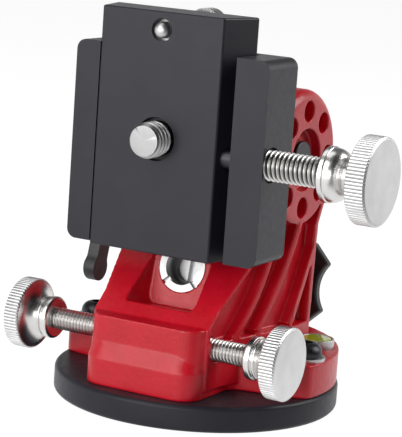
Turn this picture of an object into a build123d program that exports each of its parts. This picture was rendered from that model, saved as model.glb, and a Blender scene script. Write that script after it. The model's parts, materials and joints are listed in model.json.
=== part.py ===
from build123d import *
import math
import os

# Star tracker mount: an azimuth and altitude wedge. A red casting turns on a
# black base disc, pushed by two opposed knurled screws. A black head with a
# dovetail saddle tilts between the casting's two ribbed arms, driven by a worm.
# Millimetres. Origin: centre of the disc's underside. +X right, +Y back, +Z up.
# The saddle faces -Y at rest.

os.makedirs("parts", exist_ok=True)

# ---------------------------------------------------------------- clearances
running_gap = 0.05        # radial gap of a shaft that turns in its bush
loose_gap = 0.3           # gap between faces that pass each other
contact_gap = 0.05        # gap where one moving piece pushes another
thread_gap = 0.15         # radial gap around a screw in its threaded hole
thread_depth_ratio = 0.5  # a screw's ridges stand this share of its pitch high
small_edge = 0.4          # rounding of small turned edges
slot_width = 1.6          # of the screwdriver slots
slot_depth = 1.2

# ---------------------------------------------------------------- base disc
disc_radius = 39.1
disc_thickness = 7.0
disc_chamfer = 0.8
insert_radius = 8.0       # steel tripod bush, pressed into the disc from below
insert_length = 11.0
insert_rim_radius = 10.0
insert_rim = 2.0
tripod_thread_radius = 3.97   # 3/8"-16 minor radius
tripod_thread_length = 10.0
spigot_radius = 12.0      # the casting turns on this boss of the disc
spigot_height = 6.0

# ---------------------------------------------------------------- azimuth drive
post_offset_angle = 6.1   # degrees from -Y towards -X, at rest
post_circle = 22.0
post_radius = 4.0
post_top = 23.0
post_seat = 4.0           # depth of the post's press seat in the disc
azimuth_axis_height = 19.5
azimuth_thread_radius = 3.0
azimuth_pitch = 1.0
azimuth_screw_length = 26.05   # from the pad's tip to the collar
pad_radius = 2.4
pad_length = 2.6
pad_pin_radius = 1.2
pad_pin_length = 2.4
collar_radius = 5.8
collar_length = 2.0
neck_radius = 5.0
neck_start = 3.5          # from the collar's inner face, past a groove and a ring
neck_groove = 0.7
neck_arc = 6.0            # radius of the neck's flare
azimuth_head_radius = 9.7
azimuth_head_thickness = 4.7
azimuth_flare_radius = 9.1     # the neck's edge where it meets the head
azimuth_knob_length = 11.4     # from the collar's end to the head's outer face
knurl_count = 54
knurl_depth = 0.35

# ---------------------------------------------------------------- lock bolts
lock_inset = 5.6          # from the flange's rim to the bolts' circle
lock_shift = -0.4         # both bolts stand this far from the X axis, in Y
lock_bolt_radius = 2.5
lock_bolt_start = 1.2     # height of the bolts' lower ends in the disc
lock_head_radius = 4.4
lock_head_height = 3.7
lock_dome_radius = 2.7
lock_socket_radius = 1.9
lock_socket_depth = 2.0
lock_hole_floor = 1.0     # left under the bolts' holes in the disc
lock_washer_radius = 5.3
lock_washer_thickness = 0.9
azimuth_range = 6.5       # degrees each way

# ---------------------------------------------------------------- casting
flange_radius = 38.6
flange_top = 16.0
foot_half_width = 17.2
foot_front = -34.0
foot_top = 14.3
foot_corner = 6.4
ledge_rise = 4.2          # the band between the foot and the block above it
ledge_depth = 1.6
block_half_width = 17.0
block_corner = 5.4
block_draft = 1.5         # degrees
block_top = 25.6
slope_start = -27.3       # the sloped front rises from here, in Y
slope_angle = 42.4
scallop_inner = -12.6     # the side ears' front edge, in Y, at the foot
scallop_outer = -8.0      # and at the disc's rim
scallop_inner_corner = 4.0
scallop_outer_corner = 3.4
wall_front_x = 17.6       # outer face of each side wall, at wall_front_y
wall_front_y = -22.0
hub_face_x = 23.75
pivot_y = 9.6
pivot_z = 67.6
hub_radius = 19.0
hub_edge = 3.0
arm_gap_half = 14.5
gap_radius = 21.0
rear_gap_reach = 60.0     # the gap's sloping floor runs this far back, past the arms
rear_gap_drop = 14.0
wheel_slot_half = 3.9
rear_edge_angle = 40.0    # the arm's rear edge leaves the hub here, below level
rear_edge_bend_y = 20.8
rear_edge_bend_z = 48.5
rear_edge_foot = 19.8
hub_hole_circle = 13.2
hub_hole_radius = 2.9
hub_hole_count = 8
hub_hole_depth = 4.0
hub_recess_radius = 8.5
hub_recess_depth = 3.0
pocket_depth = 3.0
pocket_low = 21.5         # height of the pockets' lower edge
pocket_ring = 17.6        # the pockets stop at this radius from the pivot
front_rim = 1.7           # width left beside the sloped front
rear_rim = 2.0            # and beside the arm's rear edge
rib_width = 2.2
front_pocket_half = 8.7
front_pocket_draft = 11.0
front_pocket_corner = 2.6
front_pocket_low = 11.2    # below the worm's axis
front_pocket_high = 34.0
front_pocket_reach = 30.0  # forward of its floor, past the sloped front
post_room_half = 10.4
post_room_depth = 8.5
post_room_top = 23.8
post_room_corner = 3.0

# ---------------------------------------------------------------- worm drive
worm_tilt = 12.0
tooth_module = 1.0
wheel_teeth = 54
worm_pitch_radius = 6.9
wheel_width = 6.0
wheel_inner_radius = 13.0
wheel_front_angle = 12.0
wheel_rear_angle = 100.0
wheel_slot_spare = 2.0    # degrees of the tongue's slot beyond each end of the wheel
pressure_angle = 20.0
tooth_backlash = 0.6
tip_gap = 0.35
worm_cavity_start = -4.7
worm_turns = 3.75
thread_root_overlap = 0.1 # the thread's foot starts this far inside the worm's core
worm_journal_radius = 3.85
worm_shaft_front = -9.3   # along the worm's axis, from the mesh point
ring_nut_front = -15.0
ring_nut_length = 4.0
ring_nut_radius = 6.9
ring_nut_bore = 4.95
ring_nut_notch = 1.2      # width of the spanner notches in its face
ring_nut_notch_depth = 1.0
front_bush_radius = 5.9
rear_bush_start = 24.0
gland_length = 5.0
gland_radius = 8.4
gland_notch = 2.0
worm_core_end = 12.0
thrust_collar_radius = 5.6
thrust_collar_length = 4.0
rear_bush_radius = 6.0
housing_radius = 9.5
housing_end = 36.4
worm_cavity_radius = 8.9
knob_front = 50.0
knob_radius = 14.5
knob_scallop = 10.2
knob_rim = 3.2
knob_boss_radius = 7.0
knob_boss_length = 6.0
knob_lobes = 4
knob_lobe_half_angle = 16.5
knob_corner = 0.8
knob_bevel = 0.5

# ---------------------------------------------------------------- axle, lever
axle_radius = 5.0
axle_inset = 0.95         # the cap's outer face lies this far inside the hub's face
axle_cap_thickness = 1.0
bush_radius = 7.0
bush_wall = 1.5           # of the casting, left outside each bush
thrust_washer_radius = 8.6
thrust_thickness = 0.9
clutch_washer_radius = 10.5
clutch_washer_thickness = 1.2
lever_boss_radius = 8.0
lever_inner_x = -32.5
lever_thickness = 3.8
lever_length = 38.7
lever_width = 5.4
lever_bulb_radius = 3.7
lever_lean = 15.8
lever_corner = 2.5
lever_edge = 0.9
lever_cap_rim = 1.6       # the cap stands this far past the axle, and is as thick
axle_left = -37.0

# ---------------------------------------------------------------- head
tongue_radius = 18.4
tongue_low = 52.0
tongue_high = 85.0
tongue_room = 2.0         # below the tongue, between the arms
dowel_circle = 16.0
dowel_radius = 1.5
screw_edge = 4.3          # from the tongue's side to the saddle screws' centres
saddle_screw_radius = 2.0
saddle_screw_length = 8.0
screw_head_angle = 41.0   # half of the flat heads' cone
saddle_front = -31.2
saddle_depth = 15.7
saddle_left = -25.1
saddle_jaw_left = -18.0   # the left jaw's inner edge, at the front face
saddle_gap_right = 22.2   # the right jaw's inner face
saddle_right = 31.6
saddle_bottom = 44.6
saddle_top = 97.4
saddle_corner = 2.6
notch_side = 1.5          # room beside the pull knob in the saddle's top notch
plate_thickness = 12.8
plate_half_width = 17.9
plate_bottom = 43.9
plate_top = 106.8
dovetail_angle = 15.0
plate_edge = 0.35
plate_clearance = 0.1

# ---------------------------------------------------------------- camera stud
stud_height = 73.95
stud_radius = 4.7625      # 3/8"-16
stud_chamfer = 0.8
stud_shank_radius = 4.5
stud_length = 5.65
stud_recess_radius = 5.6
stud_recess_depth = 2.0
stud_head_radius = 8.5
stud_head_thickness = 3.0
index_drop = 4.8          # below the plate's top edge
index_radius = 2.15
index_tip = 1.5
index_neck_radius = 3.2
index_neck_length = 9.4    # from the plate's back to the pull knob
index_knob_radius = 4.9
index_knob_length = 5.0
index_rod_radius = 1.5
index_knob_floor = 1.0    # left behind the rod in the pull knob
index_knob_edge = 1.2
index_bore_radius = 2.95
index_bore_depth = 9.8
index_flange_depth = 2.6
index_flange_thickness = 0.8
index_travel = 2.5
spring_radius = 2.3
spring_wire = 0.25
spring_turns = 4

# ---------------------------------------------------------------- clamp screw
clamp_height = 70.85
clamp_depth = 4.9         # behind the saddle's front face
clamp_thread_radius = 4.0
clamp_pitch = 1.25
clamp_pad_radius = 3.0
clamp_pad_length = 2.6
clamp_collar_x = 47.3
clamp_collar_radius = 7.2
clamp_collar_length = 2.1
clamp_collar_edge = 0.3
clamp_dome_x = 51.4       # where the dome is widest
clamp_dome_radius = 7.4
clamp_neck_radius = 6.2
clamp_neck_x = 54.2
clamp_flare_radius = 8.0
clamp_flare_arc = 4.0
clamp_head_x = 56.9
clamp_head_thickness = 5.5
clamp_head_radius = 11.3
clamp_counterbore_radius = 4.6
clamp_counterbore_depth = 1.2

# ---------------------------------------------------------------- level
level_inset = 6.3         # from the flange's rim to the level's centre
level_angle = 26.5
level_radius = 4.9
level_depth = 3.2
level_rim = 2.4
level_wall = 0.8

# ---------------------------------------------------------------- derived places
tilt = math.radians(worm_tilt)
centre_distance = tooth_module * wheel_teeth / 2 + worm_pitch_radius
mesh_y = pivot_y - centre_distance * math.sin(tilt)
mesh_z = pivot_z - centre_distance * math.cos(tilt)
worm_plane = Plane(
    origin=(0, mesh_y, mesh_z),
    x_dir=(1, 0, 0),
    z_dir=(0, math.cos(tilt), -math.sin(tilt)),
)
side_plane = Plane(origin=(0, 0, 0), x_dir=(0, 1, 0), z_dir=(1, 0, 0))
pivot_plane = Plane(origin=(0, pivot_y, pivot_z), x_dir=(0, 1, 0), z_dir=(1, 0, 0))
slope_rise = math.tan(math.radians(slope_angle))
post_angle = math.radians(post_offset_angle)
post_x = -post_circle * math.sin(post_angle)
post_y = -post_circle * math.cos(post_angle)
plate_back = saddle_front + plate_thickness
dovetail_slope = math.tan(math.radians(dovetail_angle))
saddle_back = saddle_front + saddle_depth
plate_back_half = plate_half_width + plate_thickness * dovetail_slope
hub_front = pivot_y - hub_radius
rear_edge_top = (
    pivot_y + hub_radius * math.cos(math.radians(rear_edge_angle)),
    pivot_z - hub_radius * math.sin(math.radians(rear_edge_angle)),
)
index_height = plate_top - index_drop
index_rod_end = plate_thickness + index_neck_length + index_knob_length - index_knob_floor
notch_floor = index_height - index_knob_radius - loose_gap
tongue_half = arm_gap_half - thrust_thickness - loose_gap
screw_spread = tongue_half - screw_edge
bush_end = hub_face_x - hub_recess_depth - bush_wall
axle_right = hub_face_x - axle_inset - axle_cap_thickness
lock_circle = flange_radius - lock_inset
lock_x = math.sqrt(lock_circle**2 - lock_shift**2)
level_x = (flange_radius - level_inset) * math.cos(math.radians(level_angle))
level_y = (flange_radius - level_inset) * math.sin(math.radians(level_angle))


def slope_height(y):
    """Height of the casting's sloped front at depth y."""
    return block_top + slope_rise * (y - slope_start)


def knurled_outline(radius, count, depth):
    """Points of a straight-knurled edge: a ridge and a groove, count times."""
    points = []
    for i in range(2 * count):
        angle = math.pi * i / count
        reach = radius if i % 2 == 0 else radius - depth
        points.append((reach * math.cos(angle), reach * math.sin(angle)))
    return points


def thread_points(radius, pitch, start, end):
    """Outline of a ridged rod along +Y, from start to end, for a revolve."""
    depth = thread_depth_ratio * pitch
    turns = int((end - start) / pitch)
    points = [(0, start), (radius - depth, start)]
    for i in range(turns):
        base = start + i * pitch
        points.append((radius - depth, base + 0.1 * pitch))
        points.append((radius, base + 0.4 * pitch))
        points.append((radius, base + 0.6 * pitch))
        points.append((radius - depth, base + 0.9 * pitch))
    points += [(radius - depth, end), (0, end)]
    return points


# ================================================================ base
with BuildPart() as base_disc:
    with BuildSketch():
        Circle(disc_radius)
    extrude(amount=disc_thickness)
    chamfer(base_disc.edges().filter_by(GeomType.CIRCLE), disc_chamfer)
    with BuildSketch(Plane.XY.offset(disc_thickness)):
        Circle(spigot_radius)
    extrude(amount=spigot_height)
    with BuildSketch():
        Circle(insert_rim_radius)
    extrude(amount=insert_rim, mode=Mode.SUBTRACT)
    with BuildSketch():
        Circle(insert_radius)
    extrude(amount=insert_length, mode=Mode.SUBTRACT)
    with BuildSketch(Plane.XY.offset(disc_thickness)):
        with Locations((post_x, post_y)):
            Circle(post_radius)
    extrude(amount=-post_seat, mode=Mode.SUBTRACT)
    with BuildSketch(Plane.XY.offset(disc_thickness)):
        with Locations((lock_x, lock_shift), (-lock_x, lock_shift)):
            Circle(lock_bolt_radius + running_gap)
    extrude(amount=lock_hole_floor - disc_thickness, mode=Mode.SUBTRACT)

with BuildPart() as tripod_insert:
    with BuildSketch():
        Circle(insert_rim_radius)
    extrude(amount=insert_rim)
    with BuildSketch(Plane.XY.offset(insert_rim)):
        Circle(insert_radius)
    extrude(amount=insert_length - insert_rim)
    with BuildSketch():
        Circle(tripod_thread_radius)
    extrude(amount=tripod_thread_length, mode=Mode.SUBTRACT)

with BuildPart() as azimuth_post:
    with BuildSketch(Plane.XY.offset(disc_thickness - post_seat)):
        with Locations((post_x, post_y)):
            Circle(post_radius)
    extrude(amount=post_top - disc_thickness + post_seat)
    chamfer(azimuth_post.edges().sort_by(Axis.Z)[-1], small_edge)


def make_lock_bolt(x):
    """A domed socket bolt that clamps the casting's ear to the disc."""
    seat = flange_top + lock_washer_thickness
    with BuildPart() as bolt:
        with BuildSketch(Plane.XY.offset(lock_bolt_start)):
            with Locations((x, lock_shift)):
                Circle(lock_bolt_radius)
        extrude(amount=seat - lock_bolt_start)
        with BuildSketch(Plane.XY.offset(seat)):
            with Locations((x, lock_shift)):
                Circle(lock_head_radius)
        extrude(amount=lock_head_height)
        fillet(bolt.edges().filter_by(GeomType.CIRCLE).sort_by(Axis.Z)[-1], lock_dome_radius)
        with BuildSketch(Plane.XY.offset(seat + lock_head_height)):
            with Locations((x, lock_shift)):
                RegularPolygon(radius=lock_socket_radius, side_count=6)
        extrude(amount=-lock_socket_depth, mode=Mode.SUBTRACT)
    return bolt


lock_bolt_right = make_lock_bolt(lock_x)
lock_bolt_left = make_lock_bolt(-lock_x)

with BuildPart() as lock_washers:
    with BuildSketch(Plane.XY.offset(flange_top)):
        with Locations((lock_x, lock_shift), (-lock_x, lock_shift)):
            Circle(lock_washer_radius)
            Circle(lock_bolt_radius + running_gap, mode=Mode.SUBTRACT)
    extrude(amount=lock_washer_thickness)

# ================================================================ casting
# Ribs of one arm in the side view, in Y and Z: hub end, middle and foot.
rib_arcs = [
    [(0.2, 50.4), (-4.9, 35.2), (-14.9, 21.3)],
    [(9.8, 51.0), (4.3, 37.8), (-5.6, 22.0)],
    [(19.4, 42.0), (14.2, 32.6), (8.2, 22.0)],
]
with BuildPart() as hub_drum:
    with BuildSketch(side_plane.offset(-hub_face_x)):
        with Locations((pivot_y, pivot_z)):
            Circle(hub_radius)
    extrude(amount=2 * hub_face_x)
    fillet(hub_drum.edges().filter_by(GeomType.CIRCLE), hub_edge)

with BuildPart() as wedge_casting:
    # side view of the neck and both arms
    with BuildSketch(side_plane.offset(-hub_face_x)):
        with BuildLine():
            Polyline(
                (slope_start, disc_thickness + 2),
                (slope_start, block_top),
                (hub_front, slope_height(hub_front)),
                (hub_front, pivot_z),
                (pivot_y, pivot_z),
                rear_edge_top,
                (rear_edge_bend_y, rear_edge_bend_z),
                (rear_edge_foot, flange_top),
                (rear_edge_foot, disc_thickness + 2),
                close=True,
            )
        make_face()
    extrude(amount=2 * hub_face_x)
    # side walls narrow towards the front
    with BuildSketch(Plane.XY):
        for side in (-1, 1):
            with BuildLine():
                Polyline(
                    (side * wall_front_x, wall_front_y),
                    (side * hub_face_x, pivot_y),
                    (side * 2 * hub_face_x, pivot_y),
                    (side * 2 * hub_face_x, 2 * slope_start),
                    (side * wall_front_x, 2 * slope_start),
                    close=True,
                )
            make_face()
    extrude(amount=2 * pivot_z, mode=Mode.SUBTRACT)
    # round hubs at the top of the arms
    add(hub_drum.part)
    # flange with two ears, and the front foot
    with BuildSketch(Plane.XY.offset(disc_thickness)) as flange:
        Circle(flange_radius)
        for side in (-1, 1):
            with BuildLine():
                Polyline(
                    (side * foot_half_width, scallop_inner),
                    (side * flange_radius, scallop_outer),
                    (side * 2 * flange_radius, scallop_outer),
                    (side * 2 * flange_radius, -2 * flange_radius),
                    (side * foot_half_width, -2 * flange_radius),
                    close=True,
                )
            make_face(mode=Mode.SUBTRACT)
        with Locations((0, -flange_radius)):
            Rectangle(2 * flange_radius, 2 * (flange_radius + foot_front), mode=Mode.SUBTRACT)
        fillet(flange.vertices().group_by(Axis.Y)[0], foot_corner)
        inner_corners = flange.vertices().filter_by(lambda v: abs(v.Y - scallop_inner) < 0.1)
        fillet(inner_corners, scallop_inner_corner)
        outer_corners = flange.vertices().filter_by(lambda v: abs(v.Y - scallop_outer) < 0.9)
        fillet(outer_corners, scallop_outer_corner)
    extrude(amount=foot_top - disc_thickness)
    with BuildSketch(Plane.XY.offset(foot_top)) as ears:
        add(flange.sketch.moved(Location((0, 0, foot_top - disc_thickness))))
        with Locations((0, -flange_radius)):
            Rectangle(4 * flange_radius, 2 * (flange_radius + scallop_inner - 4), mode=Mode.SUBTRACT)
    extrude(amount=flange_top - foot_top)
    # tapered ledge and upper block
    with BuildSketch(Plane.XY.offset(foot_top)) as ledge:
        with Locations((0, foot_front / 2)):
            Rectangle(2 * foot_half_width, -foot_front)
        fillet(ledge.vertices().group_by(Axis.Y)[0], foot_corner)
    extrude(amount=ledge_rise, taper=math.degrees(math.atan2(ledge_depth, ledge_rise)))
    with BuildSketch(Plane.XY.offset(foot_top)) as block:
        with Locations((0, (foot_front + ledge_depth) / 2)):
            Rectangle(2 * block_half_width, -foot_front - ledge_depth)
        fillet(block.vertices().group_by(Axis.Y)[0], block_corner)
    extrude(amount=block_top - foot_top, taper=block_draft)
    # gap for the head, with the wheel's narrower slot below it
    with BuildSketch(side_plane.offset(-arm_gap_half)):
        with Locations((pivot_y - hub_radius, pivot_z)):
            Rectangle(2 * hub_radius, 2 * (pivot_z - tongue_low + tongue_room))
    extrude(amount=2 * arm_gap_half, mode=Mode.SUBTRACT)
    with BuildSketch(side_plane.offset(-arm_gap_half)):
        with Locations((pivot_y, pivot_z)):
            Circle(gap_radius)
        with Locations((pivot_y, pivot_z + hub_radius)):
            Rectangle(2 * gap_radius, 2 * hub_radius)
    extrude(amount=2 * arm_gap_half, mode=Mode.SUBTRACT)
    with BuildSketch(side_plane.offset(-arm_gap_half)):
        with BuildLine():
            Polyline(
                (pivot_y, pivot_z),
                (pivot_y, pivot_z - gap_radius),
                (pivot_y + rear_gap_reach, pivot_z - gap_radius - rear_gap_drop),
                (pivot_y + rear_gap_reach, pivot_z),
                close=True,
            )
        make_face()
    extrude(amount=2 * arm_gap_half, mode=Mode.SUBTRACT)
    # worm housing to the rear
    with BuildSketch(worm_plane.offset(0)):
        Circle(housing_radius)
    extrude(amount=housing_end)
    with BuildSketch(side_plane.offset(-wheel_slot_half)):
        with Locations((pivot_y, pivot_z)):
            Circle(tooth_module * (wheel_teeth / 2 + 1) + 2 * loose_gap)
    extrude(amount=2 * wheel_slot_half, mode=Mode.SUBTRACT)
    # worm bore: cavity, bush seats and ring nut thread
    with BuildSketch(worm_plane.offset(worm_cavity_start)):
        Circle(worm_cavity_radius)
    extrude(amount=rear_bush_start - worm_cavity_start, mode=Mode.SUBTRACT)
    with BuildSketch(worm_plane.offset(ring_nut_front)):
        Circle(ring_nut_radius)
    extrude(amount=ring_nut_length, mode=Mode.SUBTRACT)
    with BuildSketch(worm_plane.offset(ring_nut_front)):
        Circle(front_bush_radius)
    extrude(amount=worm_cavity_start - ring_nut_front, mode=Mode.SUBTRACT)
    with BuildSketch(worm_plane.offset(rear_bush_start)):
        Circle(rear_bush_radius)
    extrude(amount=housing_end - rear_bush_start, mode=Mode.SUBTRACT)
    # pocket in the sloped front, down to the ring nut's face
    with BuildPart(mode=Mode.PRIVATE) as front_pocket:
        with BuildSketch(worm_plane.offset(ring_nut_front)) as pocket_floor:
            with Locations((0, (front_pocket_low - front_pocket_high) / 2)):
                Rectangle(2 * front_pocket_half, front_pocket_low + front_pocket_high)
            fillet(pocket_floor.vertices(), front_pocket_corner)
        extrude(amount=-front_pocket_reach, taper=-front_pocket_draft)
        below = worm_plane.origin + worm_plane.y_dir * front_pocket_low
        split(bisect_by=Plane(origin=below, x_dir=(1, 0, 0), z_dir=worm_plane.y_dir), keep=Keep.BOTTOM)
    add(front_pocket.part, mode=Mode.SUBTRACT)
    # hub recess, its ring of holes, and the bush seat in each arm
    for side in (-1, 1):
        face_plane = Plane(
            origin=(side * hub_face_x, pivot_y, pivot_z),
            x_dir=(0, 1, 0),
            z_dir=(side, 0, 0),
        )
        with BuildSketch(face_plane):
            Circle(hub_recess_radius)
        extrude(amount=-hub_recess_depth, mode=Mode.SUBTRACT)
        with BuildSketch(face_plane):
            with PolarLocations(hub_hole_circle, hub_hole_count, start_angle=90):
                Circle(hub_hole_radius)
        extrude(amount=-hub_hole_depth, mode=Mode.SUBTRACT)
        with BuildSketch(face_plane):
            Circle(axle_radius + running_gap)
        extrude(amount=arm_gap_half - hub_face_x, mode=Mode.SUBTRACT)
        with BuildSketch(side_plane.offset(side * arm_gap_half)):
            with Locations((pivot_y, pivot_z)):
                Circle(bush_radius)
        extrude(amount=side * (bush_end - arm_gap_half), mode=Mode.SUBTRACT)
    # pockets between the ribs
    with BuildPart(mode=Mode.PRIVATE) as rib_pockets:
        with BuildSketch(side_plane.offset(-2 * hub_face_x)) as pocket:
            with BuildLine():
                Polyline(
                    (slope_start + front_rim, pocket_low),
                    (slope_start + front_rim, slope_height(slope_start)),
                    (hub_front + front_rim, slope_height(hub_front)),
                    (hub_front + front_rim, pivot_z),
                    (pivot_y, pivot_z),
                    (rear_edge_top[0] - rear_rim, rear_edge_top[1]),
                    (rear_edge_bend_y - rear_rim, rear_edge_bend_z),
                    (rear_edge_foot - rear_rim, flange_top),
                    (rear_edge_foot - rear_rim, pocket_low),
                    close=True,
                )
            make_face()
            with Locations((pivot_y, pivot_z)):
                Circle(pocket_ring, mode=Mode.SUBTRACT)
            for hub_end, middle, foot_end in rib_arcs:
                with BuildLine() as rib_line:
                    ThreePointArc(hub_end, middle, foot_end)
                trace(rib_line.line, rib_width, mode=Mode.SUBTRACT)
        extrude(amount=4 * hub_face_x)
        with BuildSketch(Plane.XY):
            for side in (-1, 1):
                with BuildLine():
                    Polyline(
                        (0, 2 * slope_start),
                        (side * (wall_front_x - pocket_depth), 2 * slope_start),
                        (side * (wall_front_x - pocket_depth), wall_front_y),
                        (side * (hub_face_x - pocket_depth), pivot_y),
                        (side * (hub_face_x - pocket_depth), -2 * slope_start),
                        (0, -2 * slope_start),
                        close=True,
                    )
                make_face()
        extrude(amount=pivot_z, mode=Mode.SUBTRACT)
    add(rib_pockets.part, mode=Mode.SUBTRACT)
    # underside: spigot bore and the room in which the push post moves
    with BuildSketch(Plane.XY.offset(disc_thickness)):
        Circle(spigot_radius + running_gap)
    extrude(amount=spigot_height + loose_gap, mode=Mode.SUBTRACT)
    with BuildSketch(Plane.XY.offset(disc_thickness)) as post_room:
        with Locations((0, -post_circle)):
            Rectangle(2 * post_room_half, 2 * post_room_depth)
        fillet(post_room.vertices(), post_room_corner)
    extrude(amount=post_room_top - disc_thickness, mode=Mode.SUBTRACT)
    # azimuth screw holes
    with BuildSketch(side_plane.offset(-hub_face_x)):
        with Locations((-post_circle, azimuth_axis_height)):
            Circle(azimuth_thread_radius + thread_gap)
    extrude(amount=2 * hub_face_x, mode=Mode.SUBTRACT)
    # curved slots for the lock bolts
    slot_centre = math.degrees(math.atan2(lock_shift, lock_x))
    for slot_angle in (slot_centre, 180 - slot_centre):
        with BuildSketch(Plane.XY.offset(disc_thickness)):
            with BuildLine() as slot_path:
                CenterArc((0, 0), lock_circle, slot_angle - azimuth_range, 2 * azimuth_range)
            SlotArc(slot_path.edges()[0], 2 * (lock_bolt_radius + loose_gap))
        extrude(amount=flange_top, mode=Mode.SUBTRACT)
    # seat for the round level
    with BuildSketch(Plane.XY.offset(flange_top - level_depth)):
        with Locations((level_x, level_y)):
            Circle(level_radius)
    extrude(amount=level_depth + level_rim + loose_gap, mode=Mode.SUBTRACT)

with BuildPart() as level_cup:
    cup_bottom = flange_top - level_depth
    with BuildSketch(Plane.XY.offset(cup_bottom)):
        with Locations((level_x, level_y)):
            Circle(level_radius)
    extrude(amount=level_depth + level_rim)
    with BuildSketch(Plane.XY.offset(cup_bottom + level_wall)):
        with Locations((level_x, level_y)):
            Circle(level_radius - level_wall)
    extrude(amount=level_depth + level_rim, mode=Mode.SUBTRACT)
    fillet(level_cup.edges().group_by(Axis.Z)[-1], level_wall / 3)

with BuildPart() as level_vial:
    with BuildSketch(Plane.XY.offset(flange_top - level_depth + level_wall)):
        with Locations((level_x, level_y)):
            Circle(level_radius - level_wall)
    extrude(amount=level_depth + level_rim - level_wall)
    fillet(level_vial.edges().group_by(Axis.Z)[-1], small_edge)

with BuildPart(worm_plane.offset(ring_nut_front)) as worm_ring_nut:
    with BuildSketch(worm_plane.offset(ring_nut_front)):
        Circle(ring_nut_radius)
        Circle(ring_nut_bore, mode=Mode.SUBTRACT)
        with PolarLocations((ring_nut_radius + ring_nut_bore) / 2, 4, start_angle=45):
            Rectangle(2 * ring_nut_bore, ring_nut_notch, mode=Mode.SUBTRACT)
    extrude(amount=ring_nut_notch_depth)
    with BuildSketch(worm_plane.offset(ring_nut_front + ring_nut_notch_depth)):
        Circle(ring_nut_radius)
        Circle(ring_nut_bore, mode=Mode.SUBTRACT)
    extrude(amount=ring_nut_length - ring_nut_notch_depth)

with BuildPart() as worm_front_bush:
    with BuildSketch(worm_plane.offset(ring_nut_front + ring_nut_length)):
        Circle(front_bush_radius)
        Circle(worm_journal_radius + running_gap, mode=Mode.SUBTRACT)
    extrude(amount=worm_cavity_start - ring_nut_front - ring_nut_length)

with BuildPart() as worm_rear_bush:
    with BuildSketch(worm_plane.offset(rear_bush_start)):
        Circle(rear_bush_radius)
        Circle(worm_journal_radius + running_gap, mode=Mode.SUBTRACT)
    extrude(amount=housing_end - rear_bush_start)

with BuildPart() as pivot_bushes:
    for side in (-1, 1):
        with BuildSketch(side_plane.offset(side * arm_gap_half)):
            with Locations((pivot_y, pivot_z)):
                Circle(bush_radius)
                Circle(axle_radius + running_gap, mode=Mode.SUBTRACT)
        extrude(amount=side * (bush_end - arm_gap_half))

# ================================================================ azimuth screws
def azimuth_frame(side):
    """Plane at the pad's tip on the post, its normal pointing out along the screw."""
    tip_x = post_x + side * (post_radius + contact_gap)
    return Plane(
        origin=(tip_x, -post_circle, azimuth_axis_height),
        x_dir=(0, 1, 0),
        z_dir=(side, 0, 0),
    )


def make_azimuth_pad(side):
    """The brass tip that stays still while its screw turns."""
    frame = azimuth_frame(side)
    with BuildPart() as pad:
        with BuildSketch(frame):
            Circle(pad_radius)
        extrude(amount=pad_length)
        with BuildSketch(frame.offset(pad_length)):
            Circle(pad_pin_radius)
        extrude(amount=pad_pin_length)
    return pad


def make_azimuth_screw(side):
    """A long screw with a collar, a flared neck and a straight-knurled head."""
    frame = azimuth_frame(side)
    profile_plane = Plane(origin=frame.origin, x_dir=(0, 1, 0), z_dir=(0, 0, -side))
    start = pad_length + contact_gap
    collar = azimuth_screw_length
    head = collar + azimuth_knob_length - azimuth_head_thickness
    face = collar + azimuth_knob_length
    rod = thread_points(azimuth_thread_radius, azimuth_pitch, start, collar)
    with BuildPart() as screw:
        with BuildSketch(profile_plane):
            with BuildLine():
                Polyline(
                    *rod[:-1],
                    (collar_radius, collar),
                    (collar_radius, collar + collar_length),
                    (collar_radius - neck_groove, collar + collar_length + neck_groove / 2),
                    (collar_radius - neck_groove / 2, collar + collar_length + neck_groove),
                    (collar_radius - neck_groove / 2, collar + neck_start - neck_groove / 2),
                    (neck_radius, collar + neck_start),
                )
                RadiusArc((neck_radius, collar + neck_start), (azimuth_flare_radius, head), neck_arc)
                Polyline((azimuth_flare_radius, head), (0, head), (0, start))
            make_face()
        revolve(axis=Axis(frame.origin, frame.z_dir))
        with BuildSketch(frame.offset(head)):
            Polygon(*knurled_outline(azimuth_head_radius, knurl_count, knurl_depth), align=None)
        extrude(amount=azimuth_head_thickness)
        with BuildSketch(frame.offset(start)):
            Circle(pad_pin_radius + running_gap)
        extrude(amount=pad_pin_length + contact_gap, mode=Mode.SUBTRACT)
    return screw


azimuth_pad_right = make_azimuth_pad(1)
azimuth_pad_left = make_azimuth_pad(-1)
azimuth_screw_right = make_azimuth_screw(1)
azimuth_screw_left = make_azimuth_screw(-1)

# ================================================================ worm and wheel
pitch_radius = tooth_module * wheel_teeth / 2
tip_radius = pitch_radius + tooth_module
root_radius = pitch_radius - tooth_module - tip_gap
axial_pitch = math.pi * tooth_module
lead_twist = math.degrees(math.atan2(axial_pitch, 2 * math.pi * worm_pitch_radius))
mesh_angle = -90 - worm_tilt
wheel_start = mesh_angle - wheel_front_angle
flank = math.tan(math.radians(pressure_angle))
first_gap = math.ceil(-wheel_front_angle * wheel_teeth / 360)
last_gap = math.floor(wheel_rear_angle * wheel_teeth / 360)

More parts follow.
